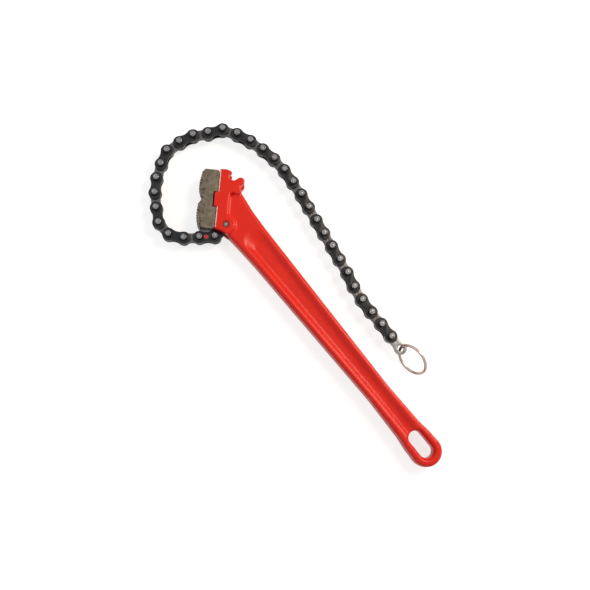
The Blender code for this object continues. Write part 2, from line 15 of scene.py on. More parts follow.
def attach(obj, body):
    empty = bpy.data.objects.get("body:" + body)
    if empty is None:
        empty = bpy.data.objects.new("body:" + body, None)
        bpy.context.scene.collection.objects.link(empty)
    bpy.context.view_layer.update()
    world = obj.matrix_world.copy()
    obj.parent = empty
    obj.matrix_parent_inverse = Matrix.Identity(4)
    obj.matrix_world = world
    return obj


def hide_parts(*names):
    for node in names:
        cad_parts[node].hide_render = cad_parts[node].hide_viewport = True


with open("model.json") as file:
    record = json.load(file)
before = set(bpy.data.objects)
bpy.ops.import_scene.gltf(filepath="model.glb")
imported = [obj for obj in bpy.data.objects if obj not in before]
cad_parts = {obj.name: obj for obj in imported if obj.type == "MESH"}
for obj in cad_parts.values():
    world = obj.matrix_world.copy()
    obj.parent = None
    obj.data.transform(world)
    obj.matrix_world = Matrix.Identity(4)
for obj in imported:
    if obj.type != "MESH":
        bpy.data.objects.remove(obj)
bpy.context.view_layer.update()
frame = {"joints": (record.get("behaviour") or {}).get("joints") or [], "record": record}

MM = 0.001

# Camera: its aim, distance and turn, worked out from the chain's pins in the photograph
VIEW_AIM = Vector((121.5, -2.6, 12.2)) * MM
VIEW_DISTANCE = 743.5 * MM
VIEW_AZIMUTH = radians(-62.46)
VIEW_ELEVATION = radians(79.51)
VIEW_ROLL = radians(24.05)
VIEW_LENS = 44.26

# Head and shank of the forging: the sizes of the frame's own handle, but for a rounder channel
HEAD_THICKNESS = 24.4 * MM
HEAD_RIM = 1.3 * MM
PAD_TERRACES = 7
MIDDLE = HEAD_THICKNESS / 2
ANCHOR_X, ANCHOR_Y = frame["joints"][0]["pos_m"][:2]
BOSS_RADIUS = 9.6 * MM
BOSS_ARC_START = radians(112)
ANCHOR_RECESS_RADIUS = 3.7 * MM
ANCHOR_RECESS_DEPTH = 1.2 * MM
SLOT_WIDTH = 10.4 * MM
HORN_SLOT_FLOOR_Y = 12.0 * MM
HORN_SLOT_END_X = -3.0 * MM
HORN_SLOT_EXIT_X = 4.5 * MM
ANCHOR_SLOT_RADIUS = 8.0 * MM
ANCHOR_SLOT_SPREAD = radians(30)
SHANK_THICKNESS = 19.0 * MM
SHANK_HALF_WIDTH = 16.0 * MM
SHANK_EDGE_RADIUS = 4.0 * MM
WAIST_X = 252.0 * MM
SHANK_WAIST_HALF_WIDTH = 12.0 * MM
SHANK_ASIDE = 1.2 * MM
EYE_X = 325.3 * MM
EYE_RADIUS = 15.8 * MM
EYE_ARC_HALF = radians(102)
HANG_HOLE_HALF_WIDTH = 7.0 * MM
HANG_HOLE_SPAN = 16.4 * MM
HANG_HOLE_RIM = 5.0 * MM
HANG_HOLE_RIM_DEPTH = 7.0 * MM
CHANNEL_DEPTH = 4.0 * MM
CHANNEL_WALL_RUN = 6.6 * MM
CHANNEL_RAMP = 18.0 * MM
CHANNEL_START_X = 40.0 * MM
CHANNEL_MOUTH_HALF_WIDTH = 8.2 * MM
FLANGE_WIDTH = 3.7 * MM
CUT_ABOVE = 0.5 * MM
OVERRUN = 3.0 * MM
WELD = 0.001 * MM
FLASH_PROUD = 0.35 * MM
FLASH_THICKNESS = 1.6 * MM

# Jaw, its screw and the seat they share with the head: the frame's sizes, but for deeper teeth
JAW_SEAT = Vector((-4.67, -5.06, 0)) * MM
JAW_HEADING = radians(-43.3)
JAW_LENGTH = 62.8 * MM
JAW_THICKNESS = 22.0 * MM
JAW_END_HEIGHT = 14.8 * MM
JAW_SHOULDER_HEIGHT = 18.0 * MM
JAW_VALLEY_HEIGHT = 15.7 * MM
JAW_VALLEY_HALF_WIDTH = 7.2 * MM
VALLEY_FLOOR_SHARE = 0.35
JAW_BACK_CORNER = 1.6 * MM
JAW_RIM = 0.7 * MM
# Height on the jaw from which the painted shade of the teeth begins
JAW_SHADE_HEIGHT = 8 * MM
TEETH_PER_BAND = 7
TOOTH_PITCH = 2.9 * MM
TOOTH_DEPTH = 2.1 * MM
TOOTH_WEAR = 0.1 * MM
BAND_RISE = 1.2 * MM
BAND_CROWN = 1.15 * MM
KEYWAY_WIDTH = 16.3 * MM
KEYWAY_DEPTH = 4.0 * MM
KEY_TOP_GAP = 1.0 * MM
SEAT_GAP = 0.3 * MM
SEAT_EDGE_REACH = 1.32 * MM
SEAT_EDGE_CORE = 0.9 * MM
SCREW_RADIUS = 3.9 * MM
SCREW_HEAD_RADIUS = 5.6 * MM
SCREW_HEAD_HEIGHT = 5.0 * MM
SCREW_SEAT_HEIGHT = 8.6 * MM
SCREW_REACH = 16.0 * MM
SCREW_HOLE_SPARE = 1.5 * MM
SCREW_EDGE = 0.5 * MM
SOCKET_RADIUS = 3.4 * MM
SOCKET_DEPTH = 3.0 * MM
THREAD_PITCH = 1.25 * MM
THREAD_DEPTH = 0.35 * MM

# Chain and ring: plates lie in layers out from the chain's middle, inner pairs within outer ones
PLATE_THICKNESS = 2.1 * MM
PLATE_LAYER = 2.4 * MM
INNER_LEVEL = PLATE_LAYER / 2
OUTER_LEVEL = PLATE_LAYER * 3 / 2
PLATE_EDGE = 0.3 * MM
OUTER_LOBE_RADIUS = 6.6 * MM
INNER_LOBE_RADIUS = 6.4 * MM
WAIST_HALF_WIDTH = 4.8 * MM
PIN_RADIUS = 2.93 * MM
PIN_HALF_LENGTH = 10.2 * MM
PIN_CHAMFER = 0.5 * MM
PIN_DIMPLE_RADIUS = 1.5 * MM
PIN_DIMPLE_DEPTH = 0.45 * MM
PIN_MARK_RADIUS = 0.55 * MM
HOLE_RADIUS = 3.18 * MM
RING_HOLE_RADIUS = 3.3 * MM
ANCHOR_PIN_SINK = 0.6 * MM
PAINT_DAB_RADIUS = 2.3 * MM
PAINT_DAB_RISE = 0.35 * MM
PAINT_DAB_SHARE = 0.57
RING_RADIUS = 16.5 * MM
RING_WIRE_RADIUS = 1.5 * MM
RING_LEAN = radians(66)
RING_HEADING = radians(-2)

# Outline of the head along the jaw, away from it, and each corner's radius, as shares of the jaw's length
HORN_SHARES = (
    (-0.524, -0.111, 0.060),
    (-0.490, -0.212, 0.023),
    (-0.456, -0.192, 0.022),
    (-0.434, -0.169, 0.026),
    (-0.351, -0.177, 0.036),
    (-0.343, -0.252, 0.040),
    (-0.410, -0.337, 0.048),
    (-0.390, -0.424, 0.052),
    (-0.309, -0.415, 0.042),
    (-0.248, -0.356, 0.048),
    (-0.157, -0.392, 0.0),
    (-0.104, -0.343, 0.030),
    (-0.142, -0.206, 0.040),
    (0.226, -0.205, 0.056),
)
HEAD_START_SHARE = -0.518
HEAD_END_SHARE = 0.495

# Lower edge of the head from the anchor pin, as shares of the boss's radius
HEEL_SHARES = (
    (1.00, -0.59, 0.15),
    (0.66, -0.66, 0.40),
    (0.12, -0.88, 0.30),
)

# Edges of the shank: along it as shares of the eye's place, out from its middle as shares of its half width
SHANK_UPPER_SHARES = (
    (-0.010, 0.475, 0.0),
    (0.0135, 1.30, 0.0),
    (0.042, 1.23, 1.25),
    (0.084, 1.11, 2.5),
    (0.150, 1.04, 3.0),
)
SHANK_LOWER_SHARES = (
    (0.225, -1.015, 3.5),
    (0.148, -1.10, 2.0),
    (0.105, -1.165, 0.8),
    (0.075, -1.20, 0.0),
    (0.035, -0.78, 0.0),
)
EYE_NECK_SHARES = (
    (0.916, 0.835, 3.8),
    (0.961, 0.945, 1.0),
)
WAIST_CURVE_SHARE = 5.0

# How finely each surface is drawn
CORNER_STEPS = 10
BOSS_STEPS = 24
EYE_STEPS = 48
RIM_STEPS = 4
BAR_EDGE_STEPS = 6
TURNED_STEPS = 48
PIN_STEPS = 32
DAB_STEPS = 6
RING_STEPS = 128
WIRE_STEPS = 24
PLATE_ARC_STEPS = 18
EYE_RIM_STEPS = 8
CHANNEL_STEPS = 10
FORGING_VOXEL = 0.5 * MM
FORGING_EASING = 7
FORGING_TRIANGLES = 180000
SHARP_ANGLE = radians(40)
EDGE_ANGLE = radians(50)


def linear(channel):
    return channel / 12.92 if channel <= 0.04045 else ((channel + 0.055) / 1.055) ** 2.4


def colour(code):
    """Linear colour of an sRGB hex code."""
    return (*(linear(int(code[k:k + 2], 16) / 255) for k in (1, 3, 5)), 1)


def node(tree, kind, inputs=None, **settings):
    """Adds a node with its settings; each input takes a value or another node's output."""
    made = tree.nodes.new(kind)
    for key, value in settings.items():
        setattr(made, key, value)
    for key, value in (inputs or {}).items():
        if isinstance(value, bpy.types.NodeSocket):
            tree.links.new(value, made.inputs[key])
        else:
            made.inputs[key].default_value = value
    return made


def finish(name, roughness, metallic):
    """A material with its shader set to plain values, ready for its patterns."""
    material = bpy.data.materials.new(name)
    material.use_nodes = True
    shader = material.node_tree.nodes["Principled BSDF"]
    shader.inputs["Roughness"].default_value = roughness
    shader.inputs["Metallic"].default_value = metallic
    return material, material.node_tree, shader


def pattern(tree, size, detail=3.0, stretch=(1, 1, 1), offset=(0, 0, 0)):
    """Noise whose blotches are about this size, in the piece's own coordinates."""
    place = node(tree, "ShaderNodeTexCoord").outputs["Object"]
    turned = node(tree, "ShaderNodeMapping", {"Vector": place, "Location": offset, "Scale": stretch})
    noise = node(tree, "ShaderNodeTexNoise", {
        "Vector": turned.outputs["Vector"], "Scale": 1 / size, "Detail": detail, "Roughness": 0.55,
    })
    return noise.outputs["Fac"]


def ramp(tree, source, stops):
    """Colours or greys along a pattern: stops are (place, hex code)."""
    made = node(tree, "ShaderNodeValToRGB", {"Fac": source})
    elements = made.color_ramp.elements
    while len(elements) < len(stops):
        elements.new(0.5)
    for element, (place, code) in zip(elements, stops):
        element.position = place
        element.color = colour(code)
    return made.outputs["Color"]


def relief(tree, shader, layers):
    """Stacks bumps on the shader: layers are (height pattern, depth in metres)."""
    last = None
    for height, depth in layers:
        inputs = {"Height": height, "Distance": depth, "Strength": 1.0}
        if last:
            inputs["Normal"] = last
        last = node(tree, "ShaderNodeBump", inputs).outputs["Normal"]
    tree.links.new(last, shader.inputs["Normal"])


def red_enamel():
    """Stoved enamel sprayed on a forging: an even half gloss red, waved by the scale under it."""
    material, tree, shader = finish("stoved_red_enamel", 0.32, 0.0)
    shade = ramp(tree, pattern(tree, 30 * MM), [(0.3, "#D91E0E"), (0.7, "#E12510")])
    tree.links.new(shade, shader.inputs["Base Color"])
    shader.inputs["IOR"].default_value = 1.35
    relief(tree, shader, [
        (pattern(tree, 9 * MM, 2.0), 0.14 * MM),
        (pattern(tree, 1.5 * MM, 2.0), 0.07 * MM),
    ])
    return material


def bare_jaw_steel():
    """Hardened tool steel left bare after heat treatment: grey brown, blotched, with dark blotches of painted
    shade towards the teeth.
    """
    material, tree, shader = finish("bare_hardened_steel", 0.5, 0.8)
    shade = ramp(tree, pattern(tree, 5 * MM, 7.0), [(0.3, "#5A5046"), (0.5, "#696053"), (0.7, "#756C60")])
    place = node(tree, "ShaderNodeTexCoord").outputs["Object"]
    out = Vector((sin(JAW_HEADING), -cos(JAW_HEADING), 0))
    seat = JAW_SEAT.dot(out)
    height = node(tree, "ShaderNodeVectorMath", {0: place, 1: out}, operation="DOT_PRODUCT").outputs["Value"]
    toothed = node(tree, "ShaderNodeMapRange", {
        "Value": height, "From Min": seat + JAW_SHADE_HEIGHT, "From Max": seat + JAW_VALLEY_HEIGHT,
    }).outputs["Result"]
    spots = node(tree, "ShaderNodeMapRange", {
        "Value": pattern(tree, 3 * MM, 3.0, offset=(0.3, 0.1, 0.2)), "From Min": 0.52, "From Max": 0.62,
    }).outputs["Result"]
    # painted shade: dark brown blotches over the toothed band, standing in for the dark of the tooth grooves
    tooth_shade = node(tree, "ShaderNodeMath", {0: toothed, 1: spots}, operation="MULTIPLY").outputs[0]
    mixed = node(tree, "ShaderNodeMix", {0: tooth_shade, 6: shade, 7: colour("#2E2620")}, data_type="RGBA")
    tree.links.new(mixed.outputs[2], shader.inputs["Base Color"])
    rough = ramp(tree, pattern(tree, 3 * MM, 4.0), [(0.3, "#A8A8A8"), (0.7, "#CCCCCC")])
    tree.links.new(rough, shader.inputs["Roughness"])
    relief(tree, shader, [(pattern(tree, 1.6 * MM, 4.0), 0.14 * MM)])
    return material


def black_plate_steel():
    """Blanked plate with a black oxide: near black, satin, a shade paler where the oxide is thin; also laid
    on the first inner link as painted shade.
    """
    material, tree, shader = finish("black_oxide_and_painted_shade", 0.42, 0.5)
    shade = ramp(tree, pattern(tree, 8 * MM, 5.0), [(0.3, "#131315"), (0.7, "#1E1E21")])
    tree.links.new(shade, shader.inputs["Base Color"])
    rough = ramp(tree, pattern(tree, 4 * MM, 4.0), [(0.3, "#A4A4A4"), (0.7, "#C2C2C2")])
    tree.links.new(rough, shader.inputs["Roughness"])
    relief(tree, shader, [(pattern(tree, 2 * MM, 3.0), 0.06 * MM)])
    return material


def plain_plate_steel(name="shaded_inner_plate_steel", dark="#4C4B4C", pale="#605E5F"):
    """Blanked and tumbled plate in plain steel: grey, satin, faintly scratched; the inner pairs are a darker
    copy, painted shade between the outer plates, and the end pair is brighter.
    """
    material, tree, shader = finish(name, 0.42, 0.9)
    shade = ramp(tree, pattern(tree, 6 * MM, 5.0), [(0.3, dark), (0.7, pale)])
    tree.links.new(shade, shader.inputs["Base Color"])
    relief(tree, shader, [(pattern(tree, 1.5 * MM, 3.0, stretch=(1, 4, 1)), 0.05 * MM)])
    return material


def pin_steel(name="turned_bright_steel", dark="#6C6C6E", pale="#8E8E90"):
    """Turned pins with riveted ends: bright, with a darker stamped middle; the anchor pin's copy is darker
    and reddish, painted shade of its recess and a painted reflection of the red enamel.
    """
    material, tree, shader = finish(name, 0.34, 0.95)
    shade = ramp(tree, pattern(tree, 2 * MM, 4.0), [(0.3, dark), (0.7, pale)])
    tree.links.new(shade, shader.inputs["Base Color"])
    relief(tree, shader, [(pattern(tree, 0.8 * MM, 3.0), 0.03 * MM)])
    return material


def nickel_wire():
    """Drawn wire, nickel plated: even, bright and warm."""
    material, tree, shader = finish("nickel_plated_wire", 0.26, 1.0)
    shade = ramp(tree, pattern(tree, 12 * MM, 2.0), [(0.3, "#AA9E99"), (0.7, "#B9ACA7")])
    tree.links.new(shade, shader.inputs["Base Color"])
    return material


def black_screw_steel():
    """Alloy screw with a black oxide, a little oily."""
    material, tree, shader = finish("black_screw_steel", 0.35, 0.8)
    shade = ramp(tree, pattern(tree, 3 * MM, 3.0), [(0.3, "#2A2829"), (0.7, "#3B383A")])
    tree.links.new(shade, shader.inputs["Base Color"])
    relief(tree, shader, [(pattern(tree, 1 * MM, 3.0), 0.03 * MM)])
    return material


def arc(centre, radius, start, end, steps):
    turns = [start + (end - start) * k / steps for k in range(steps + 1)]
    return [(centre[0] + radius * cos(a), centre[1] + radius * sin(a)) for a in turns]


def rounded(corners):
    """Points of a closed outline whose corners (x, y, radius) are rounded by true arcs."""
    points = []
    for k, (x, y, radius) in enumerate(corners):
        if not radius:
            points.append((x, y))
            continue
        corner = Vector((x, y))
        back = (Vector(corners[k - 1][:2]) - corner).normalized()
        ahead = (Vector(corners[(k + 1) % len(corners)][:2]) - corner).normalized()
        half = acos(max(-1, min(1, back.dot(ahead)))) / 2
        centre = corner + (back + ahead).normalized() * radius / sin(half)
        first = corner + back * radius / tan(half) - centre
        last = corner + ahead * radius / tan(half) - centre
        start = atan2(first.y, first.x)
        turn = (atan2(last.y, last.x) - start + pi) % (2 * pi) - pi
        points += arc(centre, radius, start, start + turn, CORNER_STEPS)
    return points


def raised(height):
    return Matrix.Translation((0, 0, height))


def made_mesh(source):
    """Plain mesh of an object with its modifiers worked in; the object goes."""
    evaluated = source.evaluated_get(bpy.context.evaluated_depsgraph_get())
    mesh = bpy.data.meshes.new_from_object(evaluated)
    bpy.data.objects.remove(source)
    return mesh


def loose_object(data, name="working"):
    made = bpy.data.objects.new(name, data)
    bpy.context.scene.collection.objects.link(made)
    return made


def clean(mesh):
    """Joins loose caps to their walls and points every face outwards."""
    work = bmesh.new()
    work.from_mesh(mesh)
    bmesh.ops.remove_doubles(work, verts=work.verts, dist=WELD)
    bmesh.ops.recalc_face_normals(work, faces=work.faces)
    work.to_mesh(mesh)
    work.free()
    return mesh


def flat_solid(outline, thickness, rim=0, rim_steps=0, height=MIDDLE, grow=None):
    """Mesh of a flat outline, centred on this height: its rims rounded, or its outline grown outwards."""
    curve = bpy.data.curves.new("outline", "CURVE")
    curve.dimensions = "2D"
    curve.fill_mode = "BOTH"
    curve.extrude = thickness / 2 - rim
    curve.bevel_depth = rim
    curve.bevel_resolution = rim_steps
    curve.offset = -rim if grow is None else grow
    spline = curve.splines.new("POLY")
    spline.points.add(len(outline) - 1)
    for point, (x, y) in zip(spline.points, outline):
        point.co = (x, y, 0, 1)
    spline.use_cyclic_u = True
    mesh = clean(made_mesh(loose_object(curve)))
    mesh.materials.clear()
    mesh.transform(raised(height))
    return mesh


def loft(rings):
    """Mesh through rings of points of equal count, capped at both ends."""
    work = bmesh.new()
    loops = [[work.verts.new(point) for point in ring] for ring in rings]
    count = len(loops[0])
    for lower, upper in zip(loops, loops[1:]):
        for k in range(count):
            after = (k + 1) % count
            work.faces.new((lower[k], lower[after], upper[after], upper[k]))
    work.faces.new(loops[0])
    work.faces.new(loops[-1])
    bmesh.ops.recalc_face_normals(work, faces=work.faces)
    mesh = bpy.data.meshes.new("loft")
    work.to_mesh(mesh)
    work.free()
    return mesh


def turned(profile, steps=TURNED_STEPS, place=None):
    """Round mesh from a profile of (radius, height), closed at its poles."""
    work = bmesh.new()
    rings = []
    for radius, height in profile:
        if not radius:
            rings.append([work.verts.new((0, 0, height))])
            continue
        rings.append([work.verts.new((x, y, height)) for x, y in arc((0, 0), radius, 0, 2 * pi, steps)[:-1]])
    for upper, lower in zip(rings, rings[1:]):
        for k in range(steps):
            corners = [upper[k % len(upper)], lower[k % len(lower)]]
            corners += [lower[(k + 1) % len(lower)], upper[(k + 1) % len(upper)]]
            work.faces.new(list(dict.fromkeys(corners)))
    bmesh.ops.recalc_face_normals(work, faces=work.faces)
    mesh = bpy.data.meshes.new("turned")
    work.to_mesh(mesh)
    work.free()
    if place:
        mesh.transform(place)
    return mesh


def drum(radius, bottom, top, place=None, steps=TURNED_STEPS):
    """A plain round cutter."""
    return turned([(0, top), (radius, top), (radius, bottom), (0, bottom)], steps, place)


def worked(mesh, steps):
    """A mesh after Booleans: steps are (operation, mesh of the tool)."""
    base = loose_object(mesh)
    tools = []
    for operation, tool_mesh in steps:
        tools.append(loose_object(tool_mesh, "tool"))
        modifier = base.modifiers.new(operation.lower(), "BOOLEAN")
        modifier.operation = operation
        modifier.solver = "MANIFOLD"
        modifier.object = tools[-1]
    result = made_mesh(base)
    for tool in tools:
        bpy.data.objects.remove(tool)
    result.materials.clear()
    return result


def eased(mesh, voxel, passes):
    """A skin over the mesh whose edges are rounded as a forging's are."""
    source = loose_object(mesh)
    skin = source.modifiers.new("skin", "REMESH")
    skin.mode = "VOXEL"
    skin.voxel_size = voxel
    ease = source.modifiers.new("ease", "SMOOTH")
    ease.factor = 0.5
    ease.iterations = passes
    return made_mesh(source)


def thinned(mesh, most):
    """The same surface with about this many triangles at most."""
    count = sum(len(face.vertices) - 2 for face in mesh.polygons)
    if count <= most:
        return mesh
    source = loose_object(mesh)
    thin = source.modifiers.new("thin", "DECIMATE")
    thin.ratio = most / count
    return made_mesh(source)


def shown(name, mesh, materials, body, nodes=(), sharp=SHARP_ANGLE):
    """A finished piece that rides on its body and stands for its solids."""
    mesh.materials.clear()
    for material in materials:
        mesh.materials.append(material)
    mesh.shade_smooth()
    mesh.set_sharp_from_angle(angle=sharp)
    piece = loose_object(mesh, name)
    mesh.name = name
    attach(piece, body)
    for replaced in nodes:
        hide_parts(replaced)


def jaw_frame():
    """Frame whose +X runs along the jaw, +Y up through its thickness and +Z out of its back."""
    out = Vector((sin(JAW_HEADING), -cos(JAW_HEADING), 0))
    along = Vector((cos(JAW_HEADING), sin(JAW_HEADING), 0))
    turn = Matrix((along, out.cross(along), out)).transposed().to_4x4()
    return Matrix.Translation(JAW_SEAT + Vector((0, 0, MIDDLE))) @ turn


def shank_middle(x):
    """The bar runs slightly aslant of the head: from one side of the middle line to the other at the eye."""
    return SHANK_ASIDE * (2 * x / EYE_X - 1)


def shank_edge():
    """Outline of the bar and its eye, about the bar's own middle line."""
    def corner(share_x, share_y, share_radius):
        x = share_x * EYE_X
        return x, shank_middle(x) + share_y * SHANK_HALF_WIDTH, share_radius * SHANK_HALF_WIDTH

    def waist(side):
        curve = WAIST_CURVE_SHARE * SHANK_HALF_WIDTH
        return WAIST_X, shank_middle(WAIST_X) + side * SHANK_WAIST_HALF_WIDTH, curve

    neck = [corner(*row) for row in EYE_NECK_SHARES]
    upper = [corner(*row) for row in SHANK_UPPER_SHARES] + [waist(1)] + neck
    lower = [corner(x, -y, radius) for x, y, radius in reversed(EYE_NECK_SHARES)] + [waist(-1)]
    lower += [corner(*row) for row in SHANK_LOWER_SHARES]
    centre = (EYE_X, shank_middle(EYE_X))
    eye = [(x, y, 0) for x, y in arc(centre, EYE_RADIUS, EYE_ARC_HALF, -EYE_ARC_HALF, EYE_STEPS)]
    return rounded(upper + eye + lower)


def head_edge():
    """Outline of the raised pads of the head: key, hook, horns, pad edge, boss and heel."""
    def on_jaw(along, out, radius=0):
        point = jaw_frame() @ Vector((along, 0, out))
        return point.x, point.y, radius

    half_key = KEYWAY_WIDTH / 2 - SEAT_GAP
    key_height = KEYWAY_DEPTH - KEY_TOP_GAP
    key = [
        on_jaw(HEAD_END_SHARE * JAW_LENGTH, -SEAT_GAP),
        on_jaw(half_key, -SEAT_GAP),
        on_jaw(half_key, key_height),
        on_jaw(-half_key, key_height),
        on_jaw(-half_key, -SEAT_GAP),
        on_jaw(HEAD_START_SHARE * JAW_LENGTH, -SEAT_GAP),
    ]
    horns = [on_jaw(*(share * JAW_LENGTH for share in row)) for row in HORN_SHARES]
    boss = arc((ANCHOR_X, ANCHOR_Y), BOSS_RADIUS, BOSS_ARC_START, 0, BOSS_STEPS)
    heel = [
        (ANCHOR_X + x * BOSS_RADIUS, ANCHOR_Y + y * BOSS_RADIUS, radius * BOSS_RADIUS)
        for x, y, radius in HEEL_SHARES
    ]
    return rounded(key + horns + [(x, y, 0) for x, y in boss] + heel)


def channel_half_width(x):
    share = (x - CHANNEL_START_X) / (WAIST_X - CHANNEL_START_X)
    return SHANK_HALF_WIDTH + share * (SHANK_WAIST_HALF_WIDTH - SHANK_HALF_WIDTH) - FLANGE_WIDTH


def channel_ring(share, height):
    """One ring of the channel cutter, from its narrow floor (share 0) up its walls to its mouth (share 1)."""
    inset = CHANNEL_WALL_RUN * (1 - share)
    start = CHANNEL_START_X + CHANNEL_RAMP * (1 - share)
    end_half = channel_half_width(start) - inset
    nose = arc((0, 0), 1, pi / 2, 3 * pi / 2, CORNER_STEPS * 2)
    points = [(start + end_half * (1 + x), end_half * y, height) for x, y in nose]
    waist_half = SHANK_WAIST_HALF_WIDTH - FLANGE_WIDTH - inset
    mouth_half = CHANNEL_MOUTH_HALF_WIDTH - inset
    points += [(WAIST_X, -waist_half, height), (EYE_X, -mouth_half, height)]
    points += [(EYE_X, mouth_half, height), (WAIST_X, waist_half, height)]
    return [(x, y + shank_middle(x), z) for x, y, z in points]


def channel(side):
    """Cutter for the channel in the upper (side 1) or lower (side -1) face of the bar, as one soft curve."""
    floor = SHANK_THICKNESS / 2 - CHANNEL_DEPTH
    rings = []
    for step in range(CHANNEL_STEPS + 1):
        share = step / CHANNEL_STEPS
        rise = share * share * (3 - 2 * share) * CHANNEL_DEPTH
        rings.append(channel_ring(share, MIDDLE + side * (floor + rise)))
    return loft(rings + [channel_ring(1, MIDDLE + side * (SHANK_THICKNESS / 2 + CUT_ABOVE))])


def oblong(grow, height):
    half = HANG_HOLE_HALF_WIDTH + grow
    near_x = EYE_X - HANG_HOLE_SPAN
    far = arc((EYE_X, shank_middle(EYE_X)), half, pi / 2, -pi / 2, TURNED_STEPS // 2)
    near = arc((near_x, shank_middle(near_x)), half, -pi / 2, -3 * pi / 2, TURNED_STEPS // 2)
    return [(x, y, height) for x, y in far + near]


def hang_hole():
    """Cutter for the oblong eye, its rims rounded out towards both faces."""
    neck = SHANK_THICKNESS / 2 + CUT_ABOVE - HANG_HOLE_RIM_DEPTH
    turns = [pi / 2 * k / EYE_RIM_STEPS for k in range(EYE_RIM_STEPS + 1)]
    half = [(HANG_HOLE_RIM * (1 - cos(a)), neck + HANG_HOLE_RIM_DEPTH * sin(a)) for a in turns]
    levels = [(grow, -height) for grow, height in reversed(half)] + half
    return loft([oblong(grow, MIDDLE + height) for grow, height in levels])


def horn_slot():
    """Cutter that parts the two cheeks at the horns, where the chain's plates drop in."""
    top = HORN_SLOT_FLOOR_Y + JAW_LENGTH
    far = HORN_SLOT_END_X - JAW_LENGTH
    outline = [
        (far, HORN_SLOT_FLOOR_Y), (HORN_SLOT_END_X, HORN_SLOT_FLOOR_Y),
        (HORN_SLOT_EXIT_X, SHANK_HALF_WIDTH), (HORN_SLOT_EXIT_X + OVERRUN, top), (far, top),
    ]
    return flat_solid(outline, SLOT_WIDTH)


def anchor_slot():
    """Cutter that lets the first link hang from the anchor pin and swing towards the handle."""
    reach = 2 * BOSS_RADIUS + OVERRUN
    outline = arc((ANCHOR_X, ANCHOR_Y), ANCHOR_SLOT_RADIUS, pi, ANCHOR_SLOT_SPREAD, BOSS_STEPS)
    last_x, last_y = outline[-1]
    outline.append((last_x + reach * sin(ANCHOR_SLOT_SPREAD), last_y - reach * cos(ANCHOR_SLOT_SPREAD)))
    outline.append((ANCHOR_X - ANCHOR_SLOT_RADIUS, last_y - reach * cos(ANCHOR_SLOT_SPREAD)))
    return flat_solid(outline, SLOT_WIDTH)


def soft_pads(inside):
    """The pads within the bar's edges, their rims drawn out into a soft slope by thin terraces."""
    layers = []
    for step in range(PAD_TERRACES):
        share = step / PAD_TERRACES
        rise = (1 + cos(pi * share)) / 2 * (HEAD_THICKNESS - SHANK_THICKNESS)
        layers.append(flat_solid(head_edge(), SHANK_THICKNESS + rise, grow=HEAD_RIM * (2 * share - 1)))
    return worked(layers[0], [("UNION", layer) for layer in layers[1:]] + [("INTERSECT", inside)])


def make_handle():
    """The forging: bar, pads and channels under one eased skin, then its slots and holes cut sharp."""
    bar = flat_solid(shank_edge(), SHANK_THICKNESS, SHANK_EDGE_RADIUS, BAR_EDGE_STEPS)
    pads = flat_solid(head_edge(), HEAD_THICKNESS, HEAD_RIM, RIM_STEPS)
    flash = flat_solid(shank_edge(), FLASH_THICKNESS, grow=FLASH_PROUD)
    inside = flat_solid(shank_edge(), 2 * HEAD_THICKNESS, grow=-SHANK_EDGE_RADIUS)
    forged = worked(bar, [
        ("UNION", worked(pads, [("DIFFERENCE", inside)])), ("UNION", soft_pads(inside)), ("UNION", flash),
        ("DIFFERENCE", channel(1)), ("DIFFERENCE", channel(-1)), ("DIFFERENCE", hang_hole()),
    ])
    skin = eased(forged, FORGING_VOXEL, FORGING_EASING)
    at_anchor, place = Matrix.Translation((ANCHOR_X, ANCHOR_Y, 0)), jaw_frame()
    high_recess = (HEAD_THICKNESS - ANCHOR_RECESS_DEPTH, HEAD_THICKNESS + OVERRUN)
    machined = worked(skin, [
        ("DIFFERENCE", horn_slot()),
        ("DIFFERENCE", anchor_slot()),
        ("DIFFERENCE", drum(HOLE_RADIUS, -OVERRUN, HEAD_THICKNESS + OVERRUN, at_anchor)),
        ("DIFFERENCE", drum(ANCHOR_RECESS_RADIUS, -OVERRUN, ANCHOR_RECESS_DEPTH, at_anchor)),
        ("DIFFERENCE", drum(ANCHOR_RECESS_RADIUS, *high_recess, at_anchor)),
        ("DIFFERENCE", drum(SCREW_RADIUS + SEAT_GAP, -SCREW_REACH - SCREW_HOLE_SPARE, KEYWAY_DEPTH, place)),
    ])
    forging = thinned(machined, FORGING_TRIANGLES)
    shown("forged_handle", forging, [red_enamel()], "handle", ["handle"])


def band_height(along):
    """Height of the tooth tips: each band rises a little towards the valley and is crowned."""
    length = TEETH_PER_BAND * TOOTH_PITCH
    share = (JAW_VALLEY_HALF_WIDTH + length - along) / length
    return JAW_SHOULDER_HEIGHT + share * BAND_RISE + (1 - (2 * share - 1) ** 2) * BAND_CROWN


def jaw_edge():
    """Outline of the jaw before its teeth, from the valley round one end to the keyway, and mirrored."""
    half = JAW_LENGTH / 2
    crest = [JAW_VALLEY_HALF_WIDTH + TOOTH_PITCH * k for k in range(TEETH_PER_BAND + 1)]
    points = [(VALLEY_FLOOR_SHARE * JAW_VALLEY_HALF_WIDTH, JAW_VALLEY_HEIGHT + BAND_RISE / 2)]
    points += [(x, band_height(x)) for x in crest]
    points += [(half, JAW_END_HEIGHT), (half, JAW_BACK_CORNER), (half - JAW_BACK_CORNER, 0)]
    points += [(KEYWAY_WIDTH / 2, 0), (KEYWAY_WIDTH / 2, KEYWAY_DEPTH)]
    return [(0, JAW_VALLEY_HEIGHT)] + points + [(-x, y) for x, y in reversed(points)]


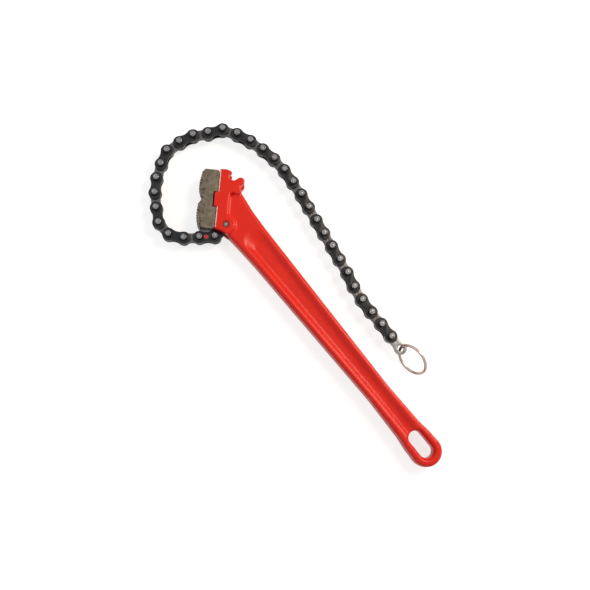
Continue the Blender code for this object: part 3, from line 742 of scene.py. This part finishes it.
def tooth_gaps(side):
    """Outline of the comb that cuts the gaps of one band of teeth."""
    start = JAW_VALLEY_HALF_WIDTH
    top = JAW_SHOULDER_HEIGHT + OVERRUN
    points = [(start, band_height(start))]
    for number in range(TEETH_PER_BAND):
        root = start + TOOTH_PITCH * (number + 0.5)
        tip = root + TOOTH_PITCH / 2
        wear = TOOTH_WEAR * (1 + sin(number * TEETH_PER_BAND + side))
        points += [(root, band_height(root) - TOOTH_DEPTH), (tip, band_height(tip) - wear)]
    points += [(start + TEETH_PER_BAND * TOOTH_PITCH, top), (start, top)]
    return [(side * x, y) for x, y in points]


def upright(mesh):
    """Stands a flat outline up in the jaw's frame."""
    swapped = Matrix(((1, 0, 0, 0), (0, 0, 1, 0), (0, 1, 0, 0), (0, 0, 0, 1)))
    mesh.transform(jaw_frame() @ swapped)
    return clean(mesh)


def make_jaw():
    block = upright(flat_solid(jaw_edge(), JAW_THICKNESS, JAW_RIM, RIM_STEPS, height=0))
    combs = [upright(flat_solid(tooth_gaps(side), JAW_THICKNESS + OVERRUN, height=0)) for side in (1, -1)]
    bore = drum(SCREW_RADIUS + SEAT_GAP, -OVERRUN, SCREW_SEAT_HEIGHT + SEAT_GAP, jaw_frame())
    sink = drum(SCREW_HEAD_RADIUS + SEAT_GAP, SCREW_SEAT_HEIGHT, JAW_SHOULDER_HEIGHT + OVERRUN, jaw_frame())
    cut = worked(block, [("DIFFERENCE", tool) for tool in combs + [bore, sink]])
    shown("toothed_jaw", cut, [bare_jaw_steel()], "handle", ["jaw"])


def seat_highlight_paint():
    """A pale pinkish painted highlight along the head's rims at the seat, where the enamel edge would catch
    the light.
    """
    material, tree, shader = finish("seat_highlight_paint", 0.45, 0.6)
    # painted highlight: this pale pink ramp stands in for light caught on the rims beside the jaw
    shade = ramp(tree, pattern(tree, 2 * MM, 4.0), [(0.35, "#C07A6E"), (0.55, "#DCC6BE")])
    tree.links.new(shade, shader.inputs["Base Color"])
    return material


def make_seat_highlight_lines():
    """Painted highlight lines on the head's rims beside the jaw, on both faces and on both sides of the key.
    """
    back = -SEAT_GAP - HEAD_RIM
    turns = [pi / 2 * k / RIM_STEPS for k in range(RIM_STEPS + 1)]
    section = [(SEAT_EDGE_REACH * cos(a), SEAT_EDGE_REACH * sin(a)) for a in turns]
    section += [(SEAT_EDGE_CORE * cos(a), SEAT_EDGE_CORE * sin(a)) for a in reversed(turns)]
    key = KEYWAY_WIDTH / 2
    spans = ((HEAD_START_SHARE * JAW_LENGTH + HEAD_RIM, -key), (key, HEAD_END_SHARE * JAW_LENGTH - HEAD_RIM))
    work = bmesh.new()
    for side in (-1, 1):
        level = side * (HEAD_THICKNESS / 2 - HEAD_RIM)
        for span in spans:
            rings = [[(along, level + side * up, back + out) for out, up in section] for along in span]
            work.from_mesh(loft(rings))
    mesh = bpy.data.meshes.new("seat_edges")
    work.to_mesh(mesh)
    work.free()
    mesh.transform(jaw_frame())
    shown("ground_seat_edges", mesh, [seat_highlight_paint()], "handle")


def make_screw():
    """Socket head screw with turned thread grooves, sunk in the jaw's valley."""
    seat = SCREW_SEAT_HEIGHT + SEAT_GAP
    top = seat + SCREW_HEAD_HEIGHT
    profile = [(0, top), (SCREW_HEAD_RADIUS - SCREW_EDGE, top), (SCREW_HEAD_RADIUS, top - SCREW_EDGE)]
    profile += [(SCREW_HEAD_RADIUS, seat), (SCREW_RADIUS, seat)]
    turns = int((seat + SCREW_REACH - SCREW_EDGE) / THREAD_PITCH)
    for number in range(1, turns):
        crest = seat - number * THREAD_PITCH
        profile += [(SCREW_RADIUS, crest), (SCREW_RADIUS - THREAD_DEPTH, crest - THREAD_PITCH / 2)]
    profile += [(SCREW_RADIUS, SCREW_EDGE - SCREW_REACH), (SCREW_RADIUS - SCREW_EDGE, -SCREW_REACH)]
    profile += [(0, -SCREW_REACH)]
    socket = drum(SOCKET_RADIUS, top - SOCKET_DEPTH, top + OVERRUN, steps=6)
    mesh = worked(turned(profile), [("DIFFERENCE", socket)])
    mesh.transform(jaw_frame())
    shown("socket_screw", mesh, [black_screw_steel()], "handle", ["jaw_screw"])


def pin_profile(half_length):
    """Profile of a riveted pin: a chamfered rim round a stamped dimple, the same at both ends."""
    end = [
        (0, half_length - PIN_DIMPLE_DEPTH / 2),
        (PIN_MARK_RADIUS, half_length - PIN_DIMPLE_DEPTH),
        (PIN_DIMPLE_RADIUS, half_length - PIN_DIMPLE_DEPTH),
        (PIN_DIMPLE_RADIUS + PIN_DIMPLE_DEPTH, half_length),
        (PIN_RADIUS - PIN_CHAMFER, half_length),
        (PIN_RADIUS, half_length - PIN_CHAMFER),
    ]
    return end + [(radius, -height) for radius, height in reversed(end)]


def make_anchor_pin():
    place = Matrix.Translation((ANCHOR_X, ANCHOR_Y, MIDDLE))
    mesh = turned(pin_profile(MIDDLE - ANCHOR_PIN_SINK), PIN_STEPS, place)
    # painted shade and painted red reflection: a darker, reddish copy of the pin steel for the pin in its
    # recess
    anchor_pin_shade = pin_steel("shaded_reddened_pin_steel", "#6E6662", "#8E8480")
    shown("riveted_anchor_pin", mesh, [anchor_pin_shade], "handle", ["anchor_pin"])


def link_tree(name, own):
    """A Geometry Nodes tree that gives one mesh, with the inputs that every link has and its own ones."""
    tree = bpy.data.node_groups.new(name, "GeometryNodeTree")
    tree.interface.new_socket("Geometry", in_out="OUTPUT", socket_type="NodeSocketGeometry")
    every = (("Pitch", "Float"), ("Heading", "Float"), ("Place", "Vector"), ("Finish", "Material"))
    for key, kind in every + own:
        tree.interface.new_socket(key, in_out="INPUT", socket_type=f"NodeSocket{kind}")
    return tree, node(tree, "NodeGroupInput").outputs


def lay_link(tree, given, geometry):
    """Lays plates or pins on the link's first hinge at its heading, as one plain mesh in its material."""
    turn = node(tree, "ShaderNodeCombineXYZ", {2: given["Heading"]}).outputs[0]
    laid = node(tree, "GeometryNodeTransform", {
        "Geometry": geometry, "Translation": given["Place"], "Rotation": turn,
    })
    real = node(tree, "GeometryNodeRealizeInstances", {"Geometry": laid.outputs["Geometry"]})
    dressed = node(tree, "GeometryNodeSetMaterial", {
        "Geometry": real.outputs["Geometry"], "Material": given["Finish"],
    })
    node(tree, "NodeGroupOutput", {"Geometry": dressed.outputs["Geometry"]})


def plate_tree():
    """Geometry Nodes that draw a pair of link plates between two hinges, from named sizes.

    Four arcs make the figure of eight, the holes are filled in with it, and it is pressed to its thickness.
    """
    sizes = ("Lobe Radius", "Waist Half Width", "Thickness", "Height", "Near Hole", "Far Hole")
    tree, given = link_tree("link_plates", tuple((key, "Float") for key in sizes))

    def sum_of(a, b, operation="ADD"):
        return node(tree, "ShaderNodeMath", {0: a, 1: b}, operation=operation).outputs[0]

    def spot(x, y, z=0.0):
        return node(tree, "ShaderNodeCombineXYZ", {0: x, 1: y, 2: z}).outputs[0]

    def bow(radius, start, sweep, centre):
        drawn = node(tree, "GeometryNodeCurveArc", {
            "Resolution": PLATE_ARC_STEPS, "Radius": radius, "Start Angle": start, "Sweep Angle": sweep,
        }, mode="RADIUS")
        return node(tree, "GeometryNodeTransform", {
            "Geometry": drawn.outputs["Curve"], "Translation": centre,
        }).outputs["Geometry"]

    def joined(*pieces):
        gathered = node(tree, "GeometryNodeJoinGeometry")
        for piece in pieces:
            tree.links.new(piece, gathered.inputs["Geometry"])
        return gathered.outputs["Geometry"]

    lobe, waist = given["Lobe Radius"], given["Waist Half Width"]
    half = sum_of(given["Pitch"], 0.5, "MULTIPLY")
    spare = sum_of(sum_of(half, 2.0, "POWER"), sum_of(waist, 2.0, "POWER"))
    spare = sum_of(spare, sum_of(lobe, 2.0, "POWER"), "SUBTRACT")
    hollow = sum_of(spare, sum_of(sum_of(lobe, waist, "SUBTRACT"), 2.0, "MULTIPLY"), "DIVIDE")
    hollow_out = sum_of(waist, hollow)
    hollow_below = sum_of(0.0, hollow_out, "SUBTRACT")
    tangent = sum_of(hollow_out, half, "ARCTAN2")
    lobe_sweep = sum_of(2 * pi, sum_of(tangent, 2.0, "MULTIPLY"), "SUBTRACT")
    hollow_sweep = sum_of(sum_of(tangent, 2.0, "MULTIPLY"), pi, "SUBTRACT")
    outline = joined(
        bow(lobe, tangent, lobe_sweep, spot(0.0, 0.0)),
        bow(hollow, sum_of(pi, tangent, "SUBTRACT"), hollow_sweep, spot(half, hollow_below)),
        bow(lobe, sum_of(tangent, pi, "SUBTRACT"), lobe_sweep, spot(given["Pitch"], 0.0)),
        bow(hollow, sum_of(0.0, tangent, "SUBTRACT"), hollow_sweep, spot(half, hollow_out)),
    )
    edge = node(tree, "GeometryNodeCurveToMesh", {"Curve": outline}).outputs["Mesh"]
    edge = node(tree, "GeometryNodeMergeByDistance", {"Geometry": edge, "Distance": WELD}).outputs["Geometry"]
    edge = node(tree, "GeometryNodeMeshToCurve", {"Mesh": edge}).outputs["Curve"]
    holes = []
    for key, centre in (("Near Hole", spot(0.0, 0.0)), ("Far Hole", spot(given["Pitch"], 0.0))):
        ring = node(tree, "GeometryNodeCurvePrimitiveCircle", {"Resolution": PIN_STEPS, "Radius": given[key]})
        holes.append(node(tree, "GeometryNodeTransform", {
            "Geometry": ring.outputs["Curve"], "Translation": centre,
        }).outputs["Geometry"])
    face = node(tree, "GeometryNodeFillCurve", {"Curve": joined(edge, *holes)}, mode="NGONS").outputs["Mesh"]
    pressed = node(tree, "GeometryNodeExtrudeMesh", {
        "Mesh": face, "Offset": (0.0, 0.0, 1.0), "Offset Scale": given["Thickness"], "Individual": False,
    }).outputs["Mesh"]
    back = node(tree, "GeometryNodeFlipFaces", {"Mesh": face}).outputs["Mesh"]
    plate = node(tree, "GeometryNodeMergeByDistance", {"Geometry": joined(pressed, back), "Distance": WELD})
    low_edge = sum_of(given["Thickness"], 0.5, "MULTIPLY")
    pair = []
    for side in (-1.0, 1.0):
        level = sum_of(sum_of(given["Height"], side, "MULTIPLY"), low_edge, "SUBTRACT")
        pair.append(node(tree, "GeometryNodeTransform", {
            "Geometry": plate.outputs["Geometry"], "Translation": spot(0.0, 0.0, level),
        }).outputs["Geometry"])
    lay_link(tree, given, joined(*pair))
    return tree


def pin_tree():
    """Geometry Nodes that set a turned pin on each hinge of an outer link."""
    tree, given = link_tree("link_pins", (("Pin", "Object"),))
    ahead = node(tree, "ShaderNodeCombineXYZ", {0: given["Pitch"]}).outputs[0]
    line = node(tree, "GeometryNodeMeshLine", {"Count": 2, "Offset": ahead}, mode="OFFSET")
    pin = node(tree, "GeometryNodeObjectInfo", {"Object": given["Pin"]}, transform_space="ORIGINAL")
    pins = node(tree, "GeometryNodeInstanceOnPoints", {
        "Points": line.outputs["Mesh"], "Instance": pin.outputs["Geometry"],
    })
    lay_link(tree, given, pins.outputs["Instances"])
    return tree


def grown(tree, sizes, edge=0):
    """Plain mesh made by a tree with these named sizes, its edges rounded."""
    source = loose_object(bpy.data.meshes.new("grown"))
    modifier = source.modifiers.new("tree", "NODES")
    modifier.node_group = tree
    for item in tree.interface.items_tree:
        if item.in_out == "INPUT":
            modifier[item.identifier] = sizes[item.name]
    if edge:
        soften = source.modifiers.new("edge", "BEVEL")
        soften.width = edge
        soften.segments = 2
        soften.limit_method = "ANGLE"
        soften.angle_limit = EDGE_ANGLE
    return made_mesh(source)


def make_chain(steel):
    """Each link is drawn between its own hinges in the frame: plates for every body, pins for outer ones."""
    hinges = [Vector(joint["pos_m"]) for joint in frame["joints"]]
    links = [joint["child"] for joint in frame["joints"]]
    plates, pins = plate_tree(), pin_tree()
    # painted shade: the inner pairs take the darker default grey of this steel, the end pair its own paler
    # copy
    black, plain = black_plate_steel(), plain_plate_steel()
    bright = plain_plate_steel("bright_end_plate_steel", "#808081", "#8E8E8F")
    pin = loose_object(turned(pin_profile(PIN_HALF_LENGTH), PIN_STEPS), "pin_pattern")
    last = len(links) - 2
    for number, (body, here, there) in enumerate(zip(links, hinges, hinges[1:])):
        outer = number % 2
        # painted shade: the first inner link, in the anchor slot under the jaw, is drawn in the black plate
        # finish
        surface = black if outer or number == 0 else bright if number == last else plain
        run = there - here
        sizes = {
            "Pitch": run.length, "Heading": atan2(run.y, run.x), "Place": here, "Thickness": PLATE_THICKNESS,
            "Lobe Radius": OUTER_LOBE_RADIUS if outer else INNER_LOBE_RADIUS,
            "Waist Half Width": WAIST_HALF_WIDTH,
            "Height": OUTER_LEVEL if outer else INNER_LEVEL, "Finish": surface,
            "Near Hole": PIN_RADIUS if outer else HOLE_RADIUS,
            "Far Hole": PIN_RADIUS if outer else RING_HOLE_RADIUS if number == last else HOLE_RADIUS,
        }
        kind = "outer" if outer else "end" if number == last else "inner"
        nodes = frame["record"]["behaviour"]["bodies"][body]
        mesh = grown(plates, sizes, PLATE_EDGE)
        shown(f"{kind}_plates_{number:02d}", mesh, [surface], body, nodes)
        if outer:
            pair = grown(pins, {
                "Pitch": run.length, "Heading": sizes["Heading"], "Place": here, "Pin": pin, "Finish": steel,
            })
            shown(f"riveted_pins_{number:02d}", pair, [steel], body)
    bpy.data.objects.remove(pin)
    make_paint_dab(hinges[1].lerp(hinges[2], PAINT_DAB_SHARE), links[1])


def make_paint_dab(middle, body):
    """A dab of red enamel on the chain's first outer plate, as on the real chain."""
    material, tree, shader = finish("red_paint_dab", 0.25, 0.0)
    shade = ramp(tree, pattern(tree, 2 * MM), [(0.3, "#B5101C"), (0.7, "#D8262E")])
    tree.links.new(shade, shader.inputs["Base Color"])
    top = OUTER_LEVEL + PLATE_THICKNESS / 2
    turns = [pi / 2 * k / DAB_STEPS for k in range(DAB_STEPS + 1)]
    dome = [(PAINT_DAB_RADIUS * sin(a), top + PAINT_DAB_RISE * cos(a)) for a in turns]
    base = [(PAINT_DAB_RADIUS, top - PLATE_THICKNESS / 4), (0, top - PLATE_THICKNESS / 4)]
    mesh = turned([(0, dome[0][1])] + dome[1:] + base, PIN_STEPS, Matrix.Translation(middle))
    shown("paint_dab", mesh, [material], body)


def make_ring():
    """The pull ring leans on the bench and passes down through the end plates."""
    height = RING_RADIUS * sin(RING_LEAN) + RING_WIRE_RADIUS
    crossing = (MIDDLE - height) / (RING_RADIUS * sin(RING_LEAN))
    out = RING_RADIUS * (1 - crossing ** 2) ** 0.5
    aside = -RING_RADIUS * crossing * cos(RING_LEAN)
    bpy.ops.mesh.primitive_torus_add(
        major_radius=RING_RADIUS, minor_radius=RING_WIRE_RADIUS,
        major_segments=RING_STEPS, minor_segments=WIRE_STEPS,
    )
    torus = bpy.context.object
    mesh = torus.data.copy()
    bpy.data.objects.remove(torus)
    hole = Vector(frame["joints"][-1]["pos_m"])
    lean = Matrix.Translation((out, aside, height - MIDDLE)) @ Matrix.Rotation(RING_LEAN, 4, "X")
    mesh.transform(Matrix.Translation(hole) @ Matrix.Rotation(RING_HEADING, 4, "Z") @ lean)
    shown("nickel_ring", mesh, [nickel_wire()], "ring", ["pull_ring"], pi)


# Studio: floor, world, lamps and camera; each lamp has its place and size in mm, its power and its colour
FLOOR_HALF = 1.4
FLOOR_LIFT = 0.74
DOME_LEVELS = ((0.0, "#3A3A3A"), (0.45, "#CFCFCF"), (0.75, "#B4B4B4"), (0.95, "#7A7A7A"))
LAMPS = (
    ("key_softbox", (170, 640, 900), 400, 6.1, "#FFEFD6"),
    ("rim_strip", (320, 760, 240), 300, 2.2, "#FFF6EA"),
    ("fill_softbox", (-500, -350, 800), 700, 1.2, "#FFFFFF"),
)


def background_rays(tree):
    """1 for a ray that sees the background itself: from the camera, in a reflection or through glass."""
    path = node(tree, "ShaderNodeLightPath").outputs
    bent = node(tree, "ShaderNodeMath", {0: path["Is Glossy Ray"], 1: path["Is Transmission Ray"]},
                operation="MAXIMUM").outputs[0]
    return node(tree, "ShaderNodeMath", {0: path["Is Camera Ray"], 1: bent}, operation="MAXIMUM").outputs[0]


def make_floor():
    """A pale matt floor, lifted to white where it is seen or reflected; the object's shadow stays on it."""
    mesh = bpy.data.meshes.new("studio_floor")
    sides = (-FLOOR_HALF, FLOOR_HALF)
    mesh.from_pydata([(x, y, 0) for y in sides for x in sides], [], [(0, 1, 3, 2)])
    material, tree, shader = finish("pale_grey_paper", 1.0, 0.0)
    shader.inputs["Base Color"].default_value = colour("#B4B4B4")
    shader.inputs["Specular IOR Level"].default_value = 0.0
    shader.inputs["Emission Color"].default_value = (1, 1, 1, 1)
    seen = background_rays(tree)
    lift = node(tree, "ShaderNodeMath", {0: seen, 1: FLOOR_LIFT}, operation="MULTIPLY")
    tree.links.new(lift.outputs[0], shader.inputs["Emission Strength"])
    mesh.materials.append(material)
    loose_object(mesh, "studio_floor")


def make_world():
    """White to the camera and in reflections; as light a soft dome, bright half way up."""
    world = bpy.data.worlds.new("studio")
    bpy.context.scene.world = world
    world.use_nodes = True
    tree = world.node_tree
    way = node(tree, "ShaderNodeTexCoord").outputs["Generated"]
    height = node(tree, "ShaderNodeSeparateXYZ", {0: way}).outputs["Z"]
    dome = ramp(tree, height, DOME_LEVELS)
    seen = background_rays(tree)
    shade = node(tree, "ShaderNodeMix", {0: seen, 6: dome, 7: colour("#FFFFFF")}, data_type="RGBA")
    tree.links.new(shade.outputs[2], tree.nodes["Background"].inputs["Color"])


def make_lamps():
    for name, place, size, power, code in LAMPS:
        light = bpy.data.lights.new(name, "AREA")
        light.size = size * MM
        light.energy = power
        light.color = colour(code)[:3]
        lamp = loose_object(light, name)
        lamp.location = Vector(place) * MM
        lamp.rotation_euler = (VIEW_AIM - lamp.location).to_track_quat("-Z", "Y").to_euler()


def make_camera():
    data = bpy.data.cameras.new("photo_view")
    data.lens = VIEW_LENS
    camera = loose_object(data, "photo_view")
    flat = cos(VIEW_ELEVATION)
    away = Vector((flat * cos(VIEW_AZIMUTH), flat * sin(VIEW_AZIMUTH), sin(VIEW_ELEVATION)))
    camera.location = VIEW_AIM + VIEW_DISTANCE * away
    turn = (-away).to_track_quat("-Z", "Y").to_matrix().to_4x4() @ Matrix.Rotation(VIEW_ROLL, 4, "Z")
    camera.rotation_euler = turn.to_euler()
    bpy.context.scene.camera = camera


make_handle()
make_jaw()
make_seat_highlight_lines()
make_screw()
make_anchor_pin()
make_chain(pin_steel())
make_ring()
make_floor()
make_world()
make_lamps()
make_camera()
bpy.context.scene.view_settings.view_transform = "Standard"
